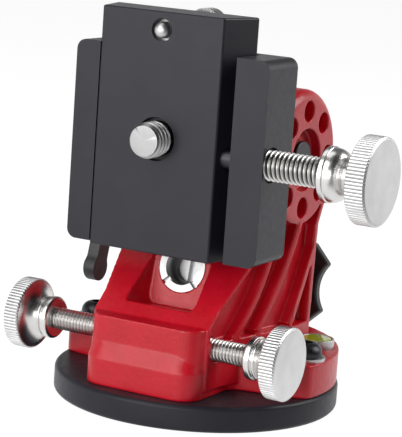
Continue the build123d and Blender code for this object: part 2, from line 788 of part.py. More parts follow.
with BuildPart() as worm_wheel:
    with BuildSketch(pivot_plane.offset(-wheel_width / 2)):
        with BuildLine():
            rim = CenterArc((0, 0), tip_radius, wheel_start, wheel_rear_angle + wheel_front_angle)
            Line((0, 0), rim @ 0)
            Line((0, 0), rim @ 1)
        make_face()
        Circle(wheel_inner_radius, mode=Mode.SUBTRACT)
    extrude(amount=wheel_width)
    with BuildPart(mode=Mode.PRIVATE) as gap_cutter:
        with BuildSketch(side_plane.offset(-wheel_width)):
            with BuildLine():
                half_pitch_gap = (axial_pitch / 2 + tooth_backlash) / 2
                half_root = half_pitch_gap - tooth_module * flank
                half_tip = half_pitch_gap + 2 * tooth_module * flank
                Polyline(
                    (root_radius, -half_root),
                    (root_radius, half_root),
                    (tip_radius + tooth_module, half_tip),
                    (tip_radius + tooth_module, -half_tip),
                    close=True,
                )
            make_face()
        extrude(amount=2 * wheel_width)
    for index in range(first_gap, last_gap + 1):
        angle = mesh_angle + index * 360 / wheel_teeth
        cutter = gap_cutter.part.rotate(Axis.Y, lead_twist).rotate(Axis.X, angle)
        add(cutter.moved(Location((0, pivot_y, pivot_z))), mode=Mode.SUBTRACT)

# The worm's thread, made upright. It starts at +X and its crest passes the
# mesh side, at -Y, three quarters of a turn later.
with BuildPart() as worm_thread:
    with BuildLine() as worm_helix:
        Helix(pitch=axial_pitch, height=worm_turns * axial_pitch, radius=worm_pitch_radius)
    with BuildSketch(Plane(origin=worm_helix.line @ 0, x_dir=(1, 0, 0), z_dir=worm_helix.line % 0)):
        foot_depth = tooth_module + tip_gap + thread_root_overlap
        foot_half = axial_pitch / 4 + foot_depth * flank
        crest_half = axial_pitch / 4 - tooth_module * flank
        with BuildLine():
            Polyline(
                (-foot_depth, -foot_half),
                (-foot_depth, foot_half),
                (tooth_module, crest_half),
                (tooth_module, -crest_half),
                close=True,
            )
        make_face()
    sweep(path=worm_helix.line, is_frenet=True)

with BuildPart() as worm_shaft:
    root = worm_pitch_radius - tooth_module - tip_gap
    with BuildSketch(worm_plane.offset(worm_shaft_front)):
        Circle(worm_journal_radius)
    extrude(amount=knob_front + knob_rim - worm_shaft_front)
    with BuildSketch(worm_plane.offset(worm_cavity_start + loose_gap)):
        Circle(root)
    extrude(amount=worm_core_end - worm_cavity_start)
    with BuildSketch(worm_plane.offset(rear_bush_start - contact_gap - thrust_collar_length)):
        Circle(thrust_collar_radius)
    extrude(amount=thrust_collar_length)
    with BuildSketch(worm_plane.offset(worm_shaft_front)):
        Rectangle(slot_width, 3 * worm_journal_radius)
    extrude(amount=slot_depth, mode=Mode.SUBTRACT)
    add(worm_thread.part.moved(worm_plane.offset(-0.75 * axial_pitch).location))

with BuildPart() as worm_gland_nut:
    with BuildSketch(worm_plane.offset(housing_end)):
        Circle(gland_radius)
        Circle(worm_journal_radius + loose_gap, mode=Mode.SUBTRACT)
        with PolarLocations(gland_radius, 4):
            Rectangle(gland_notch, gland_notch, mode=Mode.SUBTRACT)
    extrude(amount=gland_length)

with BuildPart() as altitude_knob:
    with BuildSketch(worm_plane.offset(knob_front)) as knob_face:
        with BuildLine():
            lobe_step = 360 / knob_lobes
            for lobe in range(knob_lobes):
                middle = lobe_step * (lobe + 0.5)
                lobe_start = math.radians(middle - knob_lobe_half_angle)
                lobe_end = math.radians(middle + knob_lobe_half_angle)
                next_start = math.radians(middle + lobe_step - knob_lobe_half_angle)
                valley = math.radians(middle + lobe_step / 2)
                Line(
                    (knob_radius * math.cos(lobe_start), knob_radius * math.sin(lobe_start)),
                    (knob_radius * math.cos(lobe_end), knob_radius * math.sin(lobe_end)),
                )
                ThreePointArc(
                    (knob_radius * math.cos(lobe_end), knob_radius * math.sin(lobe_end)),
                    (knob_scallop * math.cos(valley), knob_scallop * math.sin(valley)),
                    (knob_radius * math.cos(next_start), knob_radius * math.sin(next_start)),
                )
        make_face()
        fillet(knob_face.vertices(), knob_corner)
    extrude(amount=knob_rim)
    chamfer(altitude_knob.faces().sort_by(Axis.Y)[-1].edges(), knob_bevel)
    with BuildSketch(worm_plane.offset(knob_front)):
        Circle(knob_boss_radius)
    extrude(amount=-knob_boss_length)
    with BuildSketch(worm_plane.offset(knob_front - knob_boss_length)):
        Circle(worm_journal_radius)
    extrude(amount=knob_boss_length + knob_rim, mode=Mode.SUBTRACT)

# ================================================================ head
pin_places = [
    (
        pivot_y + dowel_circle * math.cos(math.radians(mesh_angle + step)),
        pivot_z + dowel_circle * math.sin(math.radians(mesh_angle + step)),
    )
    for step in (12, 50, 88)
]
with BuildPart() as dowel_pins:
    with BuildSketch(side_plane.offset(-tongue_half)):
        with Locations(*pin_places):
            Circle(dowel_radius)
    extrude(amount=2 * tongue_half)

with BuildPart() as drilled_wheel:
    add(worm_wheel.part)
    add(dowel_pins.part, mode=Mode.SUBTRACT)

with BuildPart() as head_tongue:
    with BuildSketch(side_plane.offset(-tongue_half)):
        with Locations((pivot_y, pivot_z)):
            Circle(tongue_radius)
        with BuildLine():
            Polyline(
                (saddle_back, tongue_low),
                (saddle_back, tongue_high),
                (pivot_y, tongue_high),
                (pivot_y, tongue_low),
                close=True,
            )
        make_face()
    extrude(amount=2 * tongue_half)
    with BuildSketch(pivot_plane.offset(-wheel_width / 2 - contact_gap)):
        with BuildLine():
            slot_sweep = wheel_rear_angle + wheel_front_angle + 2 * wheel_slot_spare
            rim = CenterArc((0, 0), tip_radius, wheel_start - wheel_slot_spare, slot_sweep)
            Line((0, 0), rim @ 0)
            Line((0, 0), rim @ 1)
        make_face()
        Circle(wheel_inner_radius, mode=Mode.SUBTRACT)
    extrude(amount=wheel_width + 2 * contact_gap, mode=Mode.SUBTRACT)
    with BuildSketch(pivot_plane.offset(-tongue_half)):
        Circle(axle_radius)
    extrude(amount=2 * tongue_half, mode=Mode.SUBTRACT)
    add(dowel_pins.part, mode=Mode.SUBTRACT)
    for x in (-screw_spread, screw_spread):
        for z in (pivot_z - screw_spread, pivot_z + screw_spread):
            with BuildSketch(Plane(origin=(x, saddle_back, z), x_dir=(1, 0, 0), z_dir=(0, 1, 0))):
                Circle(saddle_screw_radius)
            extrude(amount=saddle_screw_length, mode=Mode.SUBTRACT)

with BuildPart() as saddle_screws:
    for x in (-screw_spread, screw_spread):
        for z in (pivot_z - screw_spread, pivot_z + screw_spread):
            with BuildSketch(Plane(origin=(x, saddle_back, z), x_dir=(1, 0, 0), z_dir=(0, 1, 0))):
                Circle(saddle_screw_radius)
            extrude(amount=saddle_screw_length)
            with BuildSketch(Plane(origin=(x, saddle_back, z), x_dir=(1, 0, 0), z_dir=(0, -1, 0))):
                Circle(saddle_screw_radius)
            extrude(amount=saddle_back - plate_back - loose_gap, taper=-screw_head_angle)

with BuildPart() as saddle:
    with BuildSketch(Plane.XY.offset(saddle_bottom)):
        with BuildLine():
            Polyline(
                (saddle_left, saddle_front),
                (saddle_jaw_left, saddle_front),
                (saddle_jaw_left - plate_thickness * dovetail_slope, plate_back + plate_clearance),
                (saddle_gap_right, plate_back + plate_clearance),
                (saddle_gap_right, saddle_front),
                (saddle_right, saddle_front),
                (saddle_right, saddle_back),
                (saddle_left, saddle_back),
                close=True,
            )
        make_face()
    extrude(amount=saddle_top - saddle_bottom)
    with BuildSketch(Plane(origin=(0, saddle_front, 0), x_dir=(1, 0, 0), z_dir=(0, -1, 0))):
        with Locations((0, saddle_top)):
            Rectangle(2 * (index_knob_radius + notch_side), 2 * (saddle_top - notch_floor))
    extrude(amount=-2 * saddle_depth, mode=Mode.SUBTRACT)
    corner_edges = saddle.edges().filter_by(Axis.Y).filter_by(
        lambda e: e.center().X < saddle_left + 0.01 or e.center().X > saddle_right - 0.01
    )
    fillet(corner_edges, saddle_corner)
    clamp_face = Plane(
        origin=(saddle_right, saddle_front + clamp_depth, clamp_height),
        x_dir=(0, 1, 0),
        z_dir=(1, 0, 0),
    )
    with BuildSketch(clamp_face):
        Circle(clamp_thread_radius + thread_gap)
    extrude(amount=saddle_gap_right - saddle_right, mode=Mode.SUBTRACT)
    with BuildSketch(clamp_face):
        Circle(clamp_counterbore_radius)
    extrude(amount=-clamp_counterbore_depth, mode=Mode.SUBTRACT)
    add(saddle_screws.part, mode=Mode.SUBTRACT)

with BuildPart() as axle:
    with BuildSketch(side_plane.offset(axle_left)):
        with Locations((pivot_y, pivot_z)):
            Circle(axle_radius)
    extrude(amount=axle_right - axle_left)

with BuildPart() as axle_cap:
    with BuildSketch(side_plane.offset(axle_right)):
        with Locations((pivot_y, pivot_z)):
            Circle(axle_radius)
    extrude(amount=axle_cap_thickness)
    fillet(axle_cap.edges().group_by(Axis.X)[-1], small_edge)

with BuildPart() as thrust_washers:
    for side in (-1, 1):
        with BuildSketch(side_plane.offset(side * tongue_half)):
            with Locations((pivot_y, pivot_z)):
                Circle(thrust_washer_radius)
                Circle(axle_radius, mode=Mode.SUBTRACT)
        extrude(amount=side * thrust_thickness)

# ================================================================ clutch
with BuildPart() as clutch_washer:
    with BuildSketch(side_plane.offset(-hub_face_x - contact_gap)):
        with Locations((pivot_y, pivot_z)):
            Circle(clutch_washer_radius)
            Circle(axle_radius + running_gap, mode=Mode.SUBTRACT)
    extrude(amount=-clutch_washer_thickness)

with BuildPart() as clutch_lever:
    lever_face = side_plane.offset(lever_inner_x)
    lean = math.radians(lever_lean)
    bulb_y = pivot_y - lever_length * math.sin(lean)
    bulb_z = pivot_z - lever_length * math.cos(lean)
    with BuildSketch(lever_face) as lever_outline:
        with Locations((pivot_y, pivot_z)):
            Circle(lever_boss_radius)
        with Locations((bulb_y, bulb_z)):
            Circle(lever_bulb_radius)
        with Locations(Location(((pivot_y + bulb_y) / 2, (pivot_z + bulb_z) / 2), -lever_lean)):
            Rectangle(lever_width, lever_length)
        fillet(lever_outline.vertices(), lever_corner)
    extrude(amount=-lever_thickness)
    fillet(clutch_lever.edges().group_by(Axis.X)[0], lever_edge)
    with BuildSketch(lever_face):
        with Locations((pivot_y, pivot_z)):
            Circle(lever_boss_radius)
    extrude(amount=-lever_inner_x - hub_face_x - clutch_washer_thickness - 2 * contact_gap)
    with BuildSketch(side_plane.offset(-hub_face_x)):
        with Locations((pivot_y, pivot_z)):
            Circle(axle_radius + running_gap)
    extrude(amount=lever_inner_x * 2, mode=Mode.SUBTRACT)

with BuildPart() as lever_cap:
    with BuildSketch(side_plane.offset(axle_left)):
        with Locations((pivot_y, pivot_z)):
            Circle(axle_radius + lever_cap_rim)
    extrude(amount=-lever_cap_rim)
    fillet(lever_cap.edges().group_by(Axis.X)[0], lever_cap_rim / 2)

# ================================================================ dovetail plate
front_face = Plane(origin=(0, saddle_front, 0), x_dir=(1, 0, 0), z_dir=(0, -1, 0))
with BuildPart() as dovetail_plate:
    with BuildSketch(Plane.XY.offset(plate_bottom)):
        with BuildLine():
            Polyline(
                (-plate_half_width, saddle_front),
                (plate_half_width, saddle_front),
                (plate_back_half, plate_back),
                (-plate_back_half, plate_back),
                close=True,
            )
        make_face()
    extrude(amount=plate_top - plate_bottom)
    chamfer(dovetail_plate.edges(), plate_edge)
    with BuildSketch(front_face):
        with Locations((0, stud_height)):
            Circle(stud_shank_radius + running_gap)
        with Locations((0, index_height)):
            Circle(index_rod_radius + running_gap)
    extrude(amount=-plate_thickness, mode=Mode.SUBTRACT)
    with BuildSketch(front_face):
        with Locations((0, stud_height)):
            Circle(stud_recess_radius)
    extrude(amount=-stud_recess_depth, mode=Mode.SUBTRACT)
    with BuildSketch(front_face):
        with Locations((0, index_height)):
            Circle(index_bore_radius)
    extrude(amount=-index_bore_depth, mode=Mode.SUBTRACT)
    with BuildSketch(front_face.offset(-plate_thickness)):
        with Locations((0, stud_height)):
            Circle(stud_head_radius + loose_gap)
    extrude(amount=stud_head_thickness + 2 * loose_gap, mode=Mode.SUBTRACT)

with BuildPart() as camera_stud:
    head_seat = plate_back - stud_head_thickness - loose_gap
    with BuildSketch(Plane(origin=(0, 0, stud_height), x_dir=(1, 0, 0), z_dir=(0, 0, 1))):
        with BuildLine():
            Polyline(
                (stud_radius - stud_chamfer, saddle_front - stud_length),
                (stud_radius, saddle_front - stud_length + stud_chamfer),
                (stud_radius, saddle_front + stud_recess_depth - loose_gap),
                (stud_shank_radius, saddle_front + stud_recess_depth - loose_gap),
                (stud_shank_radius, head_seat),
                (stud_head_radius, head_seat),
                (stud_head_radius, head_seat + stud_head_thickness),
                (0, head_seat + stud_head_thickness),
                (0, saddle_front - stud_length),
                close=True,
            )
        make_face()
    revolve(axis=Axis((0, 0, stud_height), (0, 1, 0)))
    with BuildSketch(front_face.offset(-plate_thickness + loose_gap)):
        with Locations((0, stud_height)):
            Rectangle(2 * stud_head_radius, slot_width)
    extrude(amount=slot_depth, mode=Mode.SUBTRACT)

with BuildPart() as index_pin:
    with BuildSketch(front_face.offset(index_tip)):
        with Locations((0, index_height)):
            Circle(index_radius)
    extrude(amount=-index_tip - index_flange_depth)
    fillet(index_pin.edges().group_by(Axis.Y)[0], 0.9 * index_radius)
    with BuildSketch(front_face.offset(-index_flange_depth)):
        with Locations((0, index_height)):
            Circle(index_bore_radius - running_gap)
    extrude(amount=-index_flange_thickness)
    with BuildSketch(front_face.offset(-index_flange_depth)):
        with Locations((0, index_height)):
            Circle(index_rod_radius)
    extrude(amount=index_flange_depth - index_rod_end)

with BuildPart() as index_spring:
    spring_start = saddle_front + index_flange_depth + index_flange_thickness + spring_wire
    spring_end = saddle_front + index_bore_depth - index_travel - 2 * spring_wire
    with BuildLine() as spring_line:
        Helix(
            pitch=(spring_end - spring_start) / spring_turns,
            height=spring_end - spring_start,
            radius=spring_radius,
        )
    with BuildSketch(Plane(origin=spring_line.line @ 0, x_dir=(1, 0, 0), z_dir=spring_line.line % 0)):
        Circle(spring_wire)
    sweep(path=spring_line.line, is_frenet=True)
index_spring.part = index_spring.part.moved(
    Plane(origin=(0, spring_start, index_height), x_dir=(1, 0, 0), z_dir=(0, 1, 0)).location
)

with BuildPart() as index_knob:
    with BuildSketch(front_face.offset(-plate_thickness - contact_gap)):
        with Locations((0, index_height)):
            Circle(index_neck_radius)
    extrude(amount=-index_neck_length)
    with BuildSketch(front_face.offset(-plate_thickness - index_neck_length)):
        with Locations((0, index_height)):
            Circle(index_knob_radius)
    extrude(amount=-index_knob_length)
    fillet(index_knob.edges().group_by(Axis.Y)[-1], index_knob_edge)
    with BuildSketch(front_face.offset(-plate_thickness)):
        with Locations((0, index_height)):
            Circle(index_rod_radius)
    extrude(amount=plate_thickness - index_rod_end, mode=Mode.SUBTRACT)

# ================================================================ clamp screw
clamp_y = saddle_front + clamp_depth
flank_x = plate_half_width + clamp_depth * dovetail_slope
clamp_axis = Axis((0, clamp_y, clamp_height), (1, 0, 0))
with BuildPart() as clamp_pad:
    pad_edge = contact_gap / math.cos(math.radians(dovetail_angle))
    pad_end = flank_x + clamp_pad_length
    pad_frame = Plane(origin=(flank_x - 2, clamp_y, clamp_height), x_dir=(0, 1, 0), z_dir=(1, 0, 0))
    with BuildSketch(pad_frame):
        Circle(clamp_pad_radius)
    extrude(amount=clamp_pad_length + 2)
    with BuildSketch(pad_frame.offset(clamp_pad_length + 2)):
        Circle(pad_pin_radius)
    extrude(amount=pad_pin_length)
    with BuildSketch(Plane.XY.offset(clamp_height - 2 * clamp_pad_radius)):
        with BuildLine():
            Polyline(
                (flank_x + pad_edge - clamp_depth * dovetail_slope, saddle_front),
                (flank_x + pad_edge + clamp_depth * dovetail_slope, clamp_y + clamp_depth),
                (0, clamp_y + clamp_depth),
                (0, saddle_front),
                close=True,
            )
        make_face()
    extrude(amount=4 * clamp_pad_radius, mode=Mode.SUBTRACT)

with BuildPart() as clamp_screw:
    screw_start = pad_end + contact_gap
    dome_start = clamp_collar_x + clamp_collar_length + clamp_collar_edge
    rod = thread_points(clamp_thread_radius, clamp_pitch, screw_start, clamp_collar_x)
    with BuildSketch(Plane(origin=(0, clamp_y, clamp_height), x_dir=(0, 0, 1), z_dir=(0, 1, 0))):
        with BuildLine():
            Polyline(
                *rod[:-1],
                (clamp_collar_radius - clamp_collar_edge, clamp_collar_x),
                (clamp_collar_radius, clamp_collar_x + clamp_collar_edge),
                (clamp_collar_radius, clamp_collar_x + clamp_collar_length),
                (clamp_collar_radius - clamp_collar_edge, dome_start),
            )
            ThreePointArc(
                (clamp_collar_radius - clamp_collar_edge, dome_start),
                (clamp_dome_radius, clamp_dome_x),
                (clamp_neck_radius, clamp_neck_x),
            )
            RadiusArc(
                (clamp_neck_radius, clamp_neck_x),
                (clamp_flare_radius, clamp_head_x),
                clamp_flare_arc,
            )
            Polyline(
                (clamp_flare_radius, clamp_head_x),
                (0, clamp_head_x),
                (0, screw_start),
            )
        make_face()
    revolve(axis=clamp_axis)
    head_plane = Plane(origin=(clamp_head_x, clamp_y, clamp_height), x_dir=(0, 1, 0), z_dir=(1, 0, 0))
    with BuildSketch(head_plane):
        Polygon(*knurled_outline(clamp_head_radius, knurl_count, knurl_depth), align=None)
    extrude(amount=clamp_head_thickness)
    with BuildSketch(head_plane.offset(screw_start - clamp_head_x)):
        Circle(pad_pin_radius + running_gap)
    extrude(amount=pad_pin_length + contact_gap, mode=Mode.SUBTRACT)

# ================================================================ export
pieces = {
    "base_disc": base_disc,
    "tripod_insert": tripod_insert,
    "azimuth_post": azimuth_post,
    "lock_bolt_right": lock_bolt_right,
    "lock_bolt_left": lock_bolt_left,
    "lock_washers": lock_washers,
    "wedge_casting": wedge_casting,
    "level_cup": level_cup,
    "level_vial": level_vial,
    "worm_ring_nut": worm_ring_nut,
    "worm_front_bush": worm_front_bush,
    "worm_rear_bush": worm_rear_bush,
    "worm_gland_nut": worm_gland_nut,
    "pivot_bushes": pivot_bushes,
    "azimuth_pad_right": azimuth_pad_right,
    "azimuth_pad_left": azimuth_pad_left,
    "azimuth_screw_right": azimuth_screw_right,
    "azimuth_screw_left": azimuth_screw_left,
    "worm_wheel": drilled_wheel,
    "worm_shaft": worm_shaft,
    "altitude_knob": altitude_knob,
    "head_tongue": head_tongue,
    "dowel_pins": dowel_pins,
    "saddle": saddle,
    "saddle_screws": saddle_screws,
    "axle": axle,
    "axle_cap": axle_cap,
    "thrust_washers": thrust_washers,
    "clutch_washer": clutch_washer,
    "clutch_lever": clutch_lever,
    "lever_cap": lever_cap,
    "dovetail_plate": dovetail_plate,
    "camera_stud": camera_stud,
    "index_pin": index_pin,
    "index_spring": index_spring,
    "index_knob": index_knob,
    "clamp_pad": clamp_pad,
    "clamp_screw": clamp_screw,
}
for name, piece in pieces.items():
    piece.part.label = name
    export_step(piece.part, f"parts/{name}.step")
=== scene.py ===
"""Looks of the star tracker mount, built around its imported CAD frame.

The frame is in metres, with +Z up and the saddle facing -Y. Sizes in this
script are in millimetres, and turn into metres where a mesh is made. Places
come from the boxes of the CAD nodes.
"""

import cmath
import json
import math

import bmesh
import bpy
import numpy as np
from mathutils import Matrix, Vector

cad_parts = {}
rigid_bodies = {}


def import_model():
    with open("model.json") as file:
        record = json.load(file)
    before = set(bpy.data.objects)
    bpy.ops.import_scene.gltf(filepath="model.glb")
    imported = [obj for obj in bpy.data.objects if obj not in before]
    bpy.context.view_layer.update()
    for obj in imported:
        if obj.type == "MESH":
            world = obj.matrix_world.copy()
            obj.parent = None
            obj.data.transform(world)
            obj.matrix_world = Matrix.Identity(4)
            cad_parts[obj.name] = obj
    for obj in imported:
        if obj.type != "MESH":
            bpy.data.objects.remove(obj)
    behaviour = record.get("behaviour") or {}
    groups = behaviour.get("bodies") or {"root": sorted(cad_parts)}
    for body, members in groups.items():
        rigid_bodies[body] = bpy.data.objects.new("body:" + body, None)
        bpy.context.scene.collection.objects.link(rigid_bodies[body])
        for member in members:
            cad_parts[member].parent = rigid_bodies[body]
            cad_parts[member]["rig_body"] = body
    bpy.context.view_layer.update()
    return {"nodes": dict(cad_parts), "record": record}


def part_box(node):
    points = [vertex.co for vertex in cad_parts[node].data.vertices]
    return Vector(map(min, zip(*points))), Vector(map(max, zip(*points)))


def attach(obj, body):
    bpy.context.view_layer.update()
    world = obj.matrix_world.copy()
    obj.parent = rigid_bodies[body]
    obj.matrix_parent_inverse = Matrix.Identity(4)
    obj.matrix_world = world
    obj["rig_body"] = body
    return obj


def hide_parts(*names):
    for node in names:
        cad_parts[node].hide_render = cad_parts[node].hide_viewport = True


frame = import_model()
MM = 0.001

X = Vector((1, 0, 0))
Y = Vector((0, 1, 0))
Z = Vector((0, 0, 1))


# ------------------------------------------------------------------ places
def span(node):
    """Lowest and highest corner of a CAD node, in millimetres."""
    low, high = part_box(node)
    return low / MM, high / MM


def upright(origin, axis, side=None):
    """Matrix of a frame whose z runs along axis from origin, in millimetres."""
    z = Vector(axis).normalized()
    x = Vector(side) if side is not None else (Y if abs(z.y) < 0.7 else X)
    x = (x - x.dot(z) * z).normalized()
    turn = Matrix((x, z.cross(x), z)).transposed().to_4x4()
    return Matrix.Translation(Vector(origin)) @ turn


# ------------------------------------------------------------------ materials
def material(name, colour, roughness, metallic=0.0, **sockets):
    """A Principled material and its shader node."""
    made = bpy.data.materials.new(name)
    made.use_nodes = True
    shader = made.node_tree.nodes["Principled BSDF"]
    shader.inputs["Base Color"].default_value = (*colour, 1)
    shader.inputs["Roughness"].default_value = roughness
    shader.inputs["Metallic"].default_value = metallic
    for socket, value in sockets.items():
        shader.inputs[socket.replace("_", " ")].default_value = value
    return made, shader


def noise(tree, scale, detail=2.0, attribute=None):
    """A noise value in object space, in features per millimetre, or along an attribute."""
    texture = tree.nodes.new("ShaderNodeTexNoise")
    texture.inputs["Scale"].default_value = scale
    texture.inputs["Detail"].default_value = detail
    if attribute:
        source = tree.nodes.new("ShaderNodeAttribute")
        source.attribute_name = attribute
        texture.noise_dimensions = "1D"
        tree.links.new(source.outputs["Fac"], texture.inputs["W"])
    else:
        source = tree.nodes.new("ShaderNodeTexCoord")
        mapping = tree.nodes.new("ShaderNodeMapping")
        mapping.inputs["Scale"].default_value = [1 / MM] * 3
        tree.links.new(source.outputs["Object"], mapping.inputs["Vector"])
        tree.links.new(mapping.outputs["Vector"], texture.inputs["Vector"])
    return texture.outputs["Fac"]


def ramp(tree, value, low, high, low_at=0.3, high_at=0.7):
    """Colours or greys between two ends, driven by a value."""
    node = tree.nodes.new("ShaderNodeValToRGB")
    for element, colour, place in zip(node.color_ramp.elements, (low, high), (low_at, high_at)):
        element.color = (*colour, 1) if hasattr(colour, "__len__") else (colour, colour, colour, 1)
        element.position = place
    tree.links.new(value, node.inputs["Fac"])
    return node.outputs["Color"]


def multiplied(tree, first, second):
    """A colour multiplied by another."""
    node = tree.nodes.new("ShaderNodeMix")
    node.data_type = "RGBA"
    node.blend_type = "MULTIPLY"
    node.inputs["Factor"].default_value = 1.0
    tree.links.new(first, node.inputs["A"])
    tree.links.new(second, node.inputs["B"])
    return node.outputs["Result"]


def combined(tree, operation, first, second):
    """Two values joined by a maths operation."""
    node = tree.nodes.new("ShaderNodeMath")
    node.operation = operation
    tree.links.new(first, node.inputs[0])
    tree.links.new(second, node.inputs[1])
    return node.outputs[0]


def vector_maths(tree, operation, vector, other=None):
    """The node that works on a vector, with a constant as its second one."""
    node = tree.nodes.new("ShaderNodeVectorMath")
    node.operation = operation
    tree.links.new(vector, node.inputs[0])
    if other is not None:
        node.inputs[1].default_value = other
    return node


def remapped(tree, value, start=(0, 1), end=(0, 1), curve="LINEAR"):
    """A value moved from one range to another, clamped at the ends."""
    node = tree.nodes.new("ShaderNodeMapRange")
    node.interpolation_type = curve
    for label, (low, high) in (("From", start), ("To", end)):
        node.inputs[label + " Min"].default_value = low
        node.inputs[label + " Max"].default_value = high
    tree.links.new(value, node.inputs["Value"])
    return node.outputs[0]


def bump(tree, shader, value, height, after=None):
    """Adds a bump of a height in millimetres to the shader's normal, on top of another one."""
    node = tree.nodes.new("ShaderNodeBump")
    node.inputs["Strength"].default_value = 1.0
    node.inputs["Distance"].default_value = height * MM
    tree.links.new(value, node.inputs["Height"])
    if after is not None:
        tree.links.new(after, node.inputs["Normal"])
    tree.links.new(node.outputs["Normal"], shader.inputs["Normal"])
    return node.outputs["Normal"]


def cast_paint():
    """Semi-gloss red paint over a cast surface, with a soft orange peel."""
    made, shader = material("red_paint", (0.64, 0.004, 0.018), 0.3, Specular_IOR_Level=0.5)
    tree = made.node_tree
    blotch = noise(tree, 0.12, 3.0)
    tree.links.new(
        ramp(tree, blotch, (0.56, 0.002, 0.011), (0.66, 0.005, 0.022)), shader.inputs["Base Color"]
    )
    tree.links.new(ramp(tree, noise(tree, 0.5, 2.0), 0.28, 0.38), shader.inputs["Roughness"])
    peel = bump(tree, shader, noise(tree, 0.9, 2.0), 0.07)
    bump(tree, shader, noise(tree, 3.0, 3.0), 0.035, after=peel)
    return made


def anodised(name="black_anodised", level=0.017, gloss=0.38):
    """Satin black anodised aluminium with a faint blue tint and a fine blasted grain."""
    tint = 1.4
    made, shader = material(name, (level, level, level * tint), 0.42, Specular_IOR_Level=gloss)
    tree = made.node_tree
    low, high = level * 0.9, level * 1.15
    tree.links.new(
        ramp(tree, noise(tree, 0.15, 3.0), (low, low, low * tint), (high, high, high * tint)),
        shader.inputs["Base Color"],
    )
    tree.links.new(ramp(tree, noise(tree, 0.6, 3.0), 0.36, 0.46), shader.inputs["Roughness"])
    bump(tree, shader, noise(tree, 6.0, 2.0), 0.012)
    return made


def turned_metal(name, colour, roughness, ring_depth=0.004, lines=14.0, groove=None, dark=0.1):
    """Lathe-turned metal: fine rings that follow the profile, and painted shade in its grooves.

    groove is the depth, in millimetres, at which a thread or knurl has its deepest painted shade, and dark
    is the share of the colour that is left there.
    """
    made, shader = material(name, colour, roughness, metallic=1.0)
    tree = made.node_tree
    rings = noise(tree, lines, 3.0, attribute="along")
    smear = noise(tree, 0.25, 3.0)
    shade = ramp(tree, smear, [c * 0.9 for c in colour], colour)
    # Painted shade: the colour darkens with the depth of a thread's or knurl's groove.
    if groove:
        source = tree.nodes.new("ShaderNodeAttribute")
        source.attribute_name = "groove"
        depth = remapped(tree, source.outputs["Fac"], (0, groove))
        shade = multiplied(tree, ramp(tree, depth, 1.0, dark, 0.35, 1.0), shade)
    tree.links.new(shade, shader.inputs["Base Color"])
    tree.links.new(
        ramp(tree, rings, roughness * 0.85, min(1, roughness * 1.2)), shader.inputs["Roughness"]
    )
    bump(tree, shader, rings, ring_depth)
    return made


def plain_metal(name, colour, roughness, grain=0.006):
    """Milled or blasted metal with a fine grain."""
    made, shader = material(name, colour, roughness, metallic=1.0)
    tree = made.node_tree
    worn = [c * 0.88 for c in colour]
    tree.links.new(ramp(tree, noise(tree, 0.3, 3.0), worn, colour), shader.inputs["Base Color"])
    tree.links.new(
        ramp(tree, noise(tree, 2.0, 3.0), roughness * 0.85, min(1, roughness * 1.15)),
        shader.inputs["Roughness"],
    )
    bump(tree, shader, noise(tree, 5.0, 2.0), grain)
    return made


def moulded_black():
    """Matt black moulding with a fine spark-eroded grain."""
    made, shader = material("black_plastic", (0.022, 0.022, 0.024), 0.45, Specular_IOR_Level=0.5)
    tree = made.node_tree
    tree.links.new(
        ramp(tree, noise(tree, 0.4, 2.0), (0.018, 0.018, 0.020), (0.028, 0.028, 0.031)),
        shader.inputs["Base Color"],
    )
    tree.links.new(ramp(tree, noise(tree, 1.0, 2.0), 0.38, 0.5), shader.inputs["Roughness"])
    bump(tree, shader, noise(tree, 4.0, 2.0), 0.02)
    return made


def level_liquid():
    """Green-yellow liquid of a round level, seen through its window."""
    made, shader = material("level_liquid", (0.48, 0.62, 0.02), 0.05, Coat_Weight=1.0)
    tree = made.node_tree
    tree.links.new(
        ramp(tree, noise(tree, 0.25, 1.0), (0.42, 0.58, 0.015), (0.60, 0.70, 0.04)),
        shader.inputs["Base Color"],
    )
    return made


RED = cast_paint()
BLACK = anodised()
DISC_BLACK = anodised("disc_anodised", 0.018, 0.25)
STEEL = turned_metal("bright_steel", (0.74, 0.73, 0.72), 0.25)
# Satin, thread and stud steel have painted shade in their grooves.
SATIN = turned_metal("satin_steel", (0.70, 0.70, 0.70), 0.36, 0.006, groove=0.5, dark=0.5)
THREAD = turned_metal("thread_steel", (0.74, 0.73, 0.71), 0.28, 0.001, groove=0.75, dark=0.04)
STUD = turned_metal("stud_steel", (0.42, 0.42, 0.42), 0.36, 0.02, lines=6.0, groove=1.2)
PLAIN = plain_metal("plain_steel", (0.58, 0.58, 0.58), 0.42)
DARK_STEEL = plain_metal("black_steel", (0.055, 0.055, 0.06), 0.38)
BRONZE = plain_metal("bronze", (0.66, 0.46, 0.20), 0.34)
PLASTIC = moulded_black()
LIQUID = level_liquid()


# ------------------------------------------------------------------ pieces
def settle(piece, body, paint, replaces=()):
    """Gives a piece its material and body, and hides the nodes that it stands for."""
    piece.data.materials.clear()
    piece.data.materials.append(paint)
    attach(piece, body)
    if replaces:
        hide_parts(*replaces)


def add_object(name, mesh):
    """Links a mesh as an object of the scene."""
    piece = bpy.data.objects.new(name, mesh)
    bpy.context.scene.collection.objects.link(piece)
    return piece


def smooth(mesh, sharp_angle=35):
    """Smooth shading with creases above an angle, in degrees."""
    mesh.shade_smooth()
    mesh.set_sharp_from_angle(angle=math.radians(sharp_angle))


def rounded(outline, steps=4):
    """Replaces each corner (radius, along, fillet) of an outline by a small curve."""
    longest = 0.49
    points = []
    for i, corner in enumerate(outline):
        fillet = corner[2] if len(corner) > 2 else 0
        here = Vector(corner[:2])
        if not fillet or i in (0, len(outline) - 1):
            points.append(tuple(here))
            continue
        back = Vector(outline[i - 1][:2]) - here
        ahead = Vector(outline[i + 1][:2]) - here
        reach = min(fillet, back.length * longest, ahead.length * longest)
        start = here + back.normalized() * reach
        end = here + ahead.normalized() * reach
        for k in range(steps + 1):
            t = k / steps
            points.append(tuple((1 - t) ** 2 * start + 2 * t * (1 - t) * here + t * t * end))
    return points


